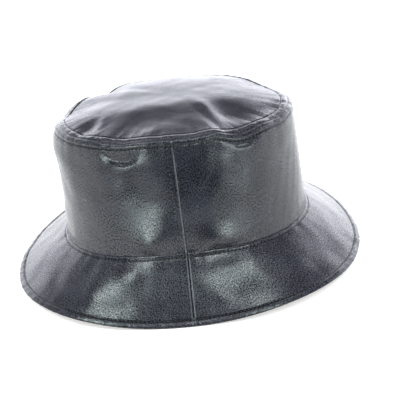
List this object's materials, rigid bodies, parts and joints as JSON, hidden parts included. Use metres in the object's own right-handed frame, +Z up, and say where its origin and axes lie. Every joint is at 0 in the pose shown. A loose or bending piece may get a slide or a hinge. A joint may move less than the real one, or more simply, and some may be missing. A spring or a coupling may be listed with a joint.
{
  "type": "rain bucket hat",
  "caption": "Rain bucket hat in dark slate coated linen: oval top, two-panel crown side and a sloping brim with an under layer, resting on its brim.",
  "frame": {"origin": "the middle of the hat's outline at the level of the floor that its brim rests on", "axes": "+X towards the front of the hat, +Y to its right side, +Z up through the crown"},
  "size_m": [0.2852, 0.2422, 0.1375],
  "materials": {
    "coated_linen": "dark slate blue linen weave under a thin satin waterproof coating",
    "facing_linen": "the same cloth seen from under the brim, greyer and more matt"
  },
  "bodies": {
    "root": {"crown_tip": "coated_linen", "side_panel_front": "coated_linen", "side_panel_back": "coated_linen", "brim_top_front": "coated_linen", "brim_top_back": "coated_linen", "brim_facing": "facing_linen"}
  },
  "joints": []
}
